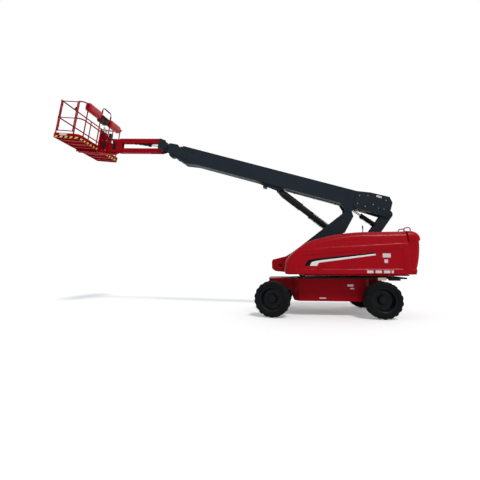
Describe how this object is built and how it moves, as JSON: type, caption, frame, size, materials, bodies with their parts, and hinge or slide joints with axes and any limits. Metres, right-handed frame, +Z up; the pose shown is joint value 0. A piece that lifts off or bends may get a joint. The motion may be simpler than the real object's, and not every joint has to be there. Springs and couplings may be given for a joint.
{
  "type": "telescopic boom lift",
  "caption": "Self-propelled telescopic boom lift with slewing turntable, three-section boom on a lifting linkage, parallelogram jib and a turning work platform.",
  "frame": {"origin": "on the ground under the slewing axis, halfway between the axles", "axes": "+X forwards, the way the boom points; +Y to the machine's left; +Z up"},
  "size_m": [10.0663, 2.6526, 6.3543],
  "materials": {
    "red_paint": "semi-gloss",
    "dark_paint": "satin",
    "black_paint": "satin",
    "hood_red": "gloss",
    "cast_red": "painted, gloss",
    "tyre": "matte",
    "rod_chrome": "polished",
    "ring_steel": "machined",
    "battery_grey": "matte",
    "cover_red": "satin",
    "console_black": "matte"
  },
  "bodies": {
    "chassis": {"chassis_frame": "red_paint", "slew_ring": "ring_steel", "front_axle": "black_paint", "rear_axle": "black_paint"},
    "steering_rod": {"steer_rod": "rod_chrome"},
    "knuckle_left": {"knuckle_left": "black_paint"},
    "knuckle_right": {"knuckle_right": "black_paint"},
    "wheel_front_left": {"rim_front_left": "black_paint", "tyre_front_left": "tyre"},
    "wheel_front_right": {"rim_front_right": "black_paint", "tyre_front_right": "tyre"},
    "wheel_rear_left": {"rim_rear_left": "black_paint", "tyre_rear_left": "tyre"},
    "wheel_rear_right": {"rim_rear_right": "black_paint", "tyre_rear_right": "tyre"},
    "turntable": {"turntable_frame": "red_paint", "battery_block": "battery_grey", "counterweight": "cast_red", "tail_loops": "red_paint", "beacon": "black_paint"},
    "hood_left": {"hood_left": "hood_red"},
    "hood_right": {"hood_right": "hood_red"},
    "front_arm": {"front_arm": "dark_paint"},
    "boom_outer": {"boom_outer": "dark_paint"},
    "boom_mid": {"boom_mid": "dark_paint"},
    "boom_inner": {"boom_inner": "dark_paint"},
    "rear_link": {"rear_link": "dark_paint"},
    "lift_rod": {"lift_rod": "black_paint"},
    "lift_barrel": {"lift_barrel": "black_paint"},
    "level_rod": {"level_rod": "rod_chrome"},
    "level_barrel": {"level_barrel": "black_paint"},
    "boom_head": {"boom_head": "dark_paint"},
    "jib_lower": {"jib_lower": "red_paint"},
    "jib_upper": {"jib_upper": "red_paint"},
    "jib_rod": {"jib_rod": "rod_chrome"},
    "jib_barrel": {"jib_barrel": "black_paint"},
    "jib_end": {"jib_end": "red_paint"},
    "platform": {"platform_support": "red_paint", "platform_deck": "red_paint", "toe_boards": "red_paint", "platform_rails": "red_paint", "rail_covers": "cover_red", "control_console": "console_black"},
    "gate": {"platform_gate": "red_paint"}
  },
  "joints": [
    {"name": "slew", "type": "hinge", "parent": "chassis", "child": "turntable", "pos_m": [0, 0, 1.02], "axis": [0, 0, 1], "continuous": true},
    {"name": "steer", "type": "hinge", "parent": "chassis", "child": "knuckle_left", "pos_m": [1.3175, 0.745, 0.455], "axis": [0, 0, 1], "range_deg": [-22, 48]},
    {"name": "steer_right", "type": "hinge", "parent": "chassis", "child": "knuckle_right", "pos_m": [1.3175, -0.745, 0.455], "axis": [0, 0, 1], "range_deg": [-22.02, 48.02]},
    {"name": "steer_slide", "type": "slide", "parent": "chassis", "child": "steering_rod", "axis": [0, 1, 0], "range_m": [-0.1262, 0.0581]},
    {"name": "roll_front_left", "type": "hinge", "parent": "knuckle_left", "child": "wheel_front_left", "pos_m": [1.39061, 1.06167, 0.455], "axis": [0.225, 0.9744, 0], "continuous": true},
    {"name": "roll_front_right", "type": "hinge", "parent": "knuckle_right", "child": "wheel_front_right", "pos_m": [1.24439, -1.06167, 0.455], "axis": [0.225, 0.9744, 0], "continuous": true},
    {"name": "roll_rear_left", "type": "hinge", "parent": "chassis", "child": "wheel_rear_left", "pos_m": [-1.3175, 1.07, 0.455], "axis": [0, 1, 0], "continuous": true},
    {"name": "roll_rear_right", "type": "hinge", "parent": "chassis", "child": "wheel_rear_right", "pos_m": [-1.3175, -1.07, 0.455], "axis": [0, 1, 0], "continuous": true},
    {"name": "hood_left", "type": "hinge", "parent": "turntable", "child": "hood_left", "pos_m": [-0.45, 0.39, 2.12], "axis": [1, 0, 0], "range_deg": [0, 60]},
    {"name": "hood_right", "type": "hinge", "parent": "turntable", "child": "hood_right", "pos_m": [-0.45, -0.39, 2.12], "axis": [-1, 0, 0], "range_deg": [0, 60]},
    {"name": "boom_lift", "type": "hinge", "parent": "turntable", "child": "front_arm", "pos_m": [1.17, 0, 1.3], "axis": [0, 1, 0], "range_deg": [-14.28, 45.22]},
    {"name": "boom_swing", "type": "hinge", "parent": "front_arm", "child": "boom_outer", "pos_m": [-0.775, 0, 2.842], "axis": [0, -1, 0], "range_deg": [-31.1, 98.44]},
    {"name": "link_swing", "type": "hinge", "parent": "boom_outer", "child": "rear_link", "pos_m": [-1.87, 0, 2.72], "axis": [0, 1, 0], "range_deg": [-39.48, 124.99]},
    {"name": "lift_cylinder_swing", "type": "hinge", "parent": "boom_outer", "child": "lift_rod", "pos_m": [1.18, 0, 3.511], "axis": [0, 1, 0], "range_deg": [-4.02, 12.68]},
    {"name": "lift_cylinder_stroke", "type": "slide", "parent": "lift_rod", "child": "lift_barrel", "axis": [-0.7747, 0, -0.6324], "range_m": [-0.2747, 0.8687]},
    {"name": "level_cylinder_swing", "type": "hinge", "parent": "boom_outer", "child": "level_rod", "pos_m": [-0.926, 0, 2.883], "axis": [0, 1, 0], "range_deg": [-6.4, 20.23]},
    {"name": "level_cylinder_stroke", "type": "slide", "parent": "level_rod", "child": "level_barrel", "axis": [-0.8097, 0, -0.5868], "range_m": [-0.1119, 0.3533]},
    {"name": "boom_extend", "type": "slide", "parent": "boom_outer", "child": "boom_mid", "axis": [0.9573, 0, 0.289], "range_m": [0, 4.4]},
    {"name": "boom_extend_inner", "type": "slide", "parent": "boom_mid", "child": "boom_inner", "axis": [0.9573, 0, 0.289], "range_m": [0, 4.401]},
    {"name": "head_level", "type": "hinge", "parent": "boom_inner", "child": "boom_head", "pos_m": [4.69, 0, 4.935], "axis": [0, 1, 0], "range_deg": [-16.82, 53.22]},
    {"name": "jib_lift", "type": "hinge", "parent": "boom_head", "child": "jib_lower", "pos_m": [4.88, 0, 4.88], "axis": [0, -1, 0], "range_deg": [-58, 58]},
    {"name": "jib_upper_swing", "type": "hinge", "parent": "boom_head", "child": "jib_upper", "pos_m": [4.88, 0, 5.2], "axis": [0, -1, 0], "range_deg": [-58.02, 58.02]},
    {"name": "jib_end_swing", "type": "hinge", "parent": "jib_lower", "child": "jib_end", "pos_m": [6.22062, 0, 4.94088], "axis": [0, -1, 0], "range_deg": [-58.02, 58.02]},
    {"name": "jib_cylinder_swing", "type": "hinge", "parent": "boom_head", "child": "jib_rod", "pos_m": [4.96, 0, 5.04], "axis": [0, -1, 0], "range_deg": [-59.7, 59.7]},
    {"name": "jib_cylinder_stroke", "type": "slide", "parent": "jib_rod", "child": "jib_barrel", "axis": [0.9816, 0, 0.1908], "range_m": [-0.1446, 0.1446]},
    {"name": "platform_turn", "type": "hinge", "parent": "jib_end", "child": "platform", "pos_m": [6.43, 0, 4.918], "axis": [-0.1219, 0, 0.9925], "range_deg": [-88.5, 91.5]},
    {"name": "gate", "type": "hinge", "parent": "platform", "child": "gate", "pos_m": [7.62475, 1.11764, 5.6692], "axis": [-0.1219, 0, 0.9925], "range_deg": [0, 90]}
  ],
  "couplings": [
    {"joint": "steer_right", "follows": "steer", "ratio": 1},
    {"joint": "steer_slide", "follows": "steer", "m_per_rad": -0.15},
    {"joint": "boom_swing", "follows": "boom_lift", "ratio": 2.1765},
    {"joint": "link_swing", "follows": "boom_lift", "ratio": 2.7636},
    {"joint": "lift_cylinder_swing", "follows": "boom_lift", "ratio": 0.28},
    {"joint": "lift_cylinder_stroke", "follows": "boom_lift", "m_per_rad": 1.1},
    {"joint": "level_cylinder_swing", "follows": "boom_lift", "ratio": 0.447},
    {"joint": "level_cylinder_stroke", "follows": "boom_lift", "m_per_rad": 0.447},
    {"joint": "head_level", "follows": "boom_lift", "ratio": 1.1765},
    {"joint": "boom_extend_inner", "follows": "boom_extend", "ratio": 1},
    {"joint": "jib_upper_swing", "follows": "jib_lift", "ratio": 1},
    {"joint": "jib_end_swing", "follows": "jib_lift", "ratio": -1},
    {"joint": "jib_cylinder_swing", "follows": "jib_lift", "ratio": 1.0287},
    {"joint": "jib_cylinder_stroke", "follows": "jib_lift", "m_per_rad": 0.1424}
  ]
}
